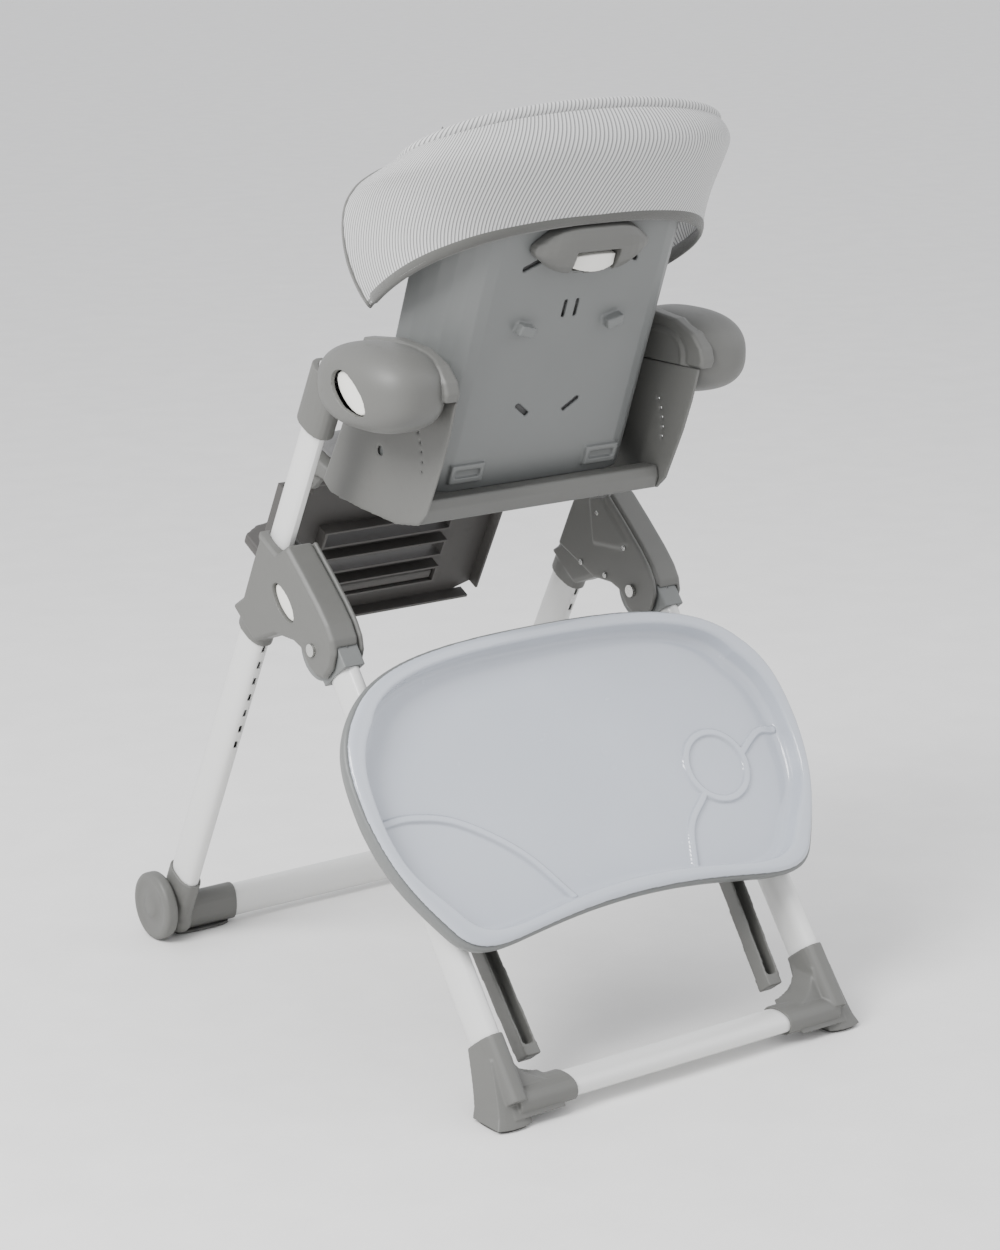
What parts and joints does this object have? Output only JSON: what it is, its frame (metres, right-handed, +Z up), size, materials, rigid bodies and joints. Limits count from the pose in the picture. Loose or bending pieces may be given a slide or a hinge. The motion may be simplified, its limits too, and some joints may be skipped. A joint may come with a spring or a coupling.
{
  "type": "baby high chair",
  "caption": "Folding baby high chair on an oval-tube A-frame, with a height-sliding reclining seat, hooded back, calf rest, wheels, and a tray stowed on the rear legs.",
  "frame": {"origin": "on the floor, at the middle of the overall box seen from above", "axes": "+X towards the child's left, -Y the way the child faces, +Z up"},
  "size_m": [0.622, 0.782, 1.061],
  "materials": {
    "tube_enamel": "satin white enamel on oval steel tube",
    "grey_plastic": "fine-grained moulded plastic",
    "pale_plastic": "fine-grained moulded plastic",
    "dark_plastic": "fine-grained moulded plastic",
    "ivory_plastic": "smooth moulded plastic",
    "rubber": "moulded rubber",
    "steel": "plain steel",
    "striped_fabric": "light grey twill with fine diagonal stripes",
    "padding": "padded woven cloth",
    "webbing": "woven webbing",
    "clear_plastic": "translucent moulded plastic"
  },
  "bodies": {
    "front_frame": {"front_crossbar": "tube_enamel", "front_leg_tube_left": "tube_enamel", "front_foot_left": "grey_plastic", "front_foot_pad_left": "rubber", "wheel_axle_left": "steel", "leg_hub_left": "grey_plastic", "leg_hub_cover_left": "grey_plastic", "fold_pin_left": "steel", "front_leg_tube_right": "tube_enamel", "front_foot_right": "grey_plastic", "front_foot_pad_right": "rubber", "wheel_axle_right": "steel", "leg_hub_right": "grey_plastic", "leg_hub_cover_right": "grey_plastic", "fold_pin_right": "steel"},
    "rear_frame": {"rear_crossbar": "tube_enamel", "rear_leg_knuckle_left": "pale_plastic", "rear_leg_tube_left": "tube_enamel", "rear_foot_left": "grey_plastic", "rear_foot_pad_left": "rubber", "rear_leg_knuckle_right": "pale_plastic", "rear_leg_tube_right": "tube_enamel", "rear_foot_right": "grey_plastic", "rear_foot_pad_right": "rubber"},
    "seat": {"seat_tub": "grey_plastic", "seat_cushion": "padding", "crotch_strap": "webbing", "buckle": "dark_plastic", "seat_slide_tube_left": "tube_enamel", "armrest_left": "grey_plastic", "side_panel_left": "grey_plastic", "waist_strap_left": "webbing", "seat_slide_tube_right": "tube_enamel", "armrest_right": "grey_plastic", "side_panel_right": "grey_plastic", "waist_strap_right": "webbing"},
    "backrest": {"back_shell": "pale_plastic", "recline_handle": "pale_plastic", "hood": "striped_fabric", "back_cushion": "padding", "head_cushion": "padding", "shoulder_strap_left": "webbing", "shoulder_strap_right": "webbing"},
    "recline_trigger": {"recline_trigger": "ivory_plastic"},
    "calf_rest": {"calf_rest": "dark_plastic", "calf_cushion": "padding"},
    "footrest": {"footrest": "grey_plastic"},
    "tray": {"tray": "grey_plastic", "tray_arm_left": "dark_plastic", "tray_arm_right": "dark_plastic"},
    "tray_liner": {"tray_liner": "clear_plastic"},
    "tray_release": {"tray_release": "ivory_plastic"},
    "buckle_button": {"buckle_button": "ivory_plastic"},
    "wheel_left": {"front_wheel_left": "grey_plastic"},
    "fold_trigger_left": {"fold_trigger_left": "ivory_plastic"},
    "height_trigger_left": {"height_trigger_left": "ivory_plastic"},
    "wheel_right": {"front_wheel_right": "grey_plastic"},
    "fold_trigger_right": {"fold_trigger_right": "ivory_plastic"},
    "height_trigger_right": {"height_trigger_right": "ivory_plastic"}
  },
  "joints": [
    {"name": "wheel_spin_left", "type": "hinge", "parent": "front_frame", "child": "wheel_left", "pos_m": [0.255, -0.348, 0.043], "axis": [1, 0, 0], "continuous": true},
    {"name": "fold_trigger_press_left", "type": "slide", "parent": "front_frame", "child": "fold_trigger_left", "axis": [-1, 0, 0], "range_m": [0, 0.004], "stiffness_N_per_m": 300, "springref_m": -0.001},
    {"name": "height_trigger_press_left", "type": "slide", "parent": "seat", "child": "height_trigger_left", "axis": [-1, 0, 0], "range_m": [0, 0.005], "stiffness_N_per_m": 300, "springref_m": -0.001},
    {"name": "wheel_spin_right", "type": "hinge", "parent": "front_frame", "child": "wheel_right", "pos_m": [-0.255, -0.348, 0.043], "axis": [1, 0, 0], "continuous": true},
    {"name": "fold_trigger_press_right", "type": "slide", "parent": "front_frame", "child": "fold_trigger_right", "axis": [1, 0, 0], "range_m": [0, 0.004], "stiffness_N_per_m": 300, "springref_m": -0.001},
    {"name": "height_trigger_press_right", "type": "slide", "parent": "seat", "child": "height_trigger_right", "axis": [1, 0, 0], "range_m": [0, 0.005], "stiffness_N_per_m": 300, "springref_m": -0.001},
    {"name": "rear_legs_fold", "type": "hinge", "parent": "front_frame", "child": "rear_frame", "pos_m": [0, 0.018, 0.455], "axis": [1, 0, 0], "range_deg": [-62, 0]},
    {"name": "seat_height", "type": "slide", "parent": "front_frame", "child": "seat", "axis": [0, 0.454, 0.891], "range_m": [-0.15, 0]},
    {"name": "backrest_recline", "type": "hinge", "parent": "seat", "child": "backrest", "pos_m": [0, 0.0384, 0.6773], "axis": [-1, 0, 0], "range_deg": [0, 31.2]},
    {"name": "recline_trigger_squeeze", "type": "slide", "parent": "backrest", "child": "recline_trigger", "axis": [0, 0.3486, 0.9373], "range_m": [0, 0.004], "stiffness_N_per_m": 300, "springref_m": -0.001},
    {"name": "calf_rest_tilt", "type": "hinge", "parent": "seat", "child": "calf_rest", "pos_m": [0, -0.151, 0.606], "axis": [-1, 0, 0], "range_deg": [0, 60]},
    {"name": "footrest_pull_out", "type": "slide", "parent": "calf_rest", "child": "footrest", "axis": [0, -0.891, 0.454], "range_m": [0, 0.05]},
    {"name": "tray_lift_off", "type": "slide", "parent": "rear_frame", "child": "tray", "axis": [0, 0.7955, 0.606], "range_m": [0, 0.08]},
    {"name": "tray_liner_lift", "type": "slide", "parent": "tray", "child": "tray_liner", "axis": [0, 0.7955, 0.606], "range_m": [0, 0.06]},
    {"name": "tray_release_pull", "type": "slide", "parent": "tray", "child": "tray_release", "axis": [0, 0.606, -0.7955], "range_m": [0, 0.005], "stiffness_N_per_m": 300, "springref_m": -0.001},
    {"name": "buckle_button_press", "type": "slide", "parent": "seat", "child": "buckle_button", "axis": [0, 0, -1], "range_m": [0, 0.002], "stiffness_N_per_m": 300, "springref_m": -0.001}
  ]
}
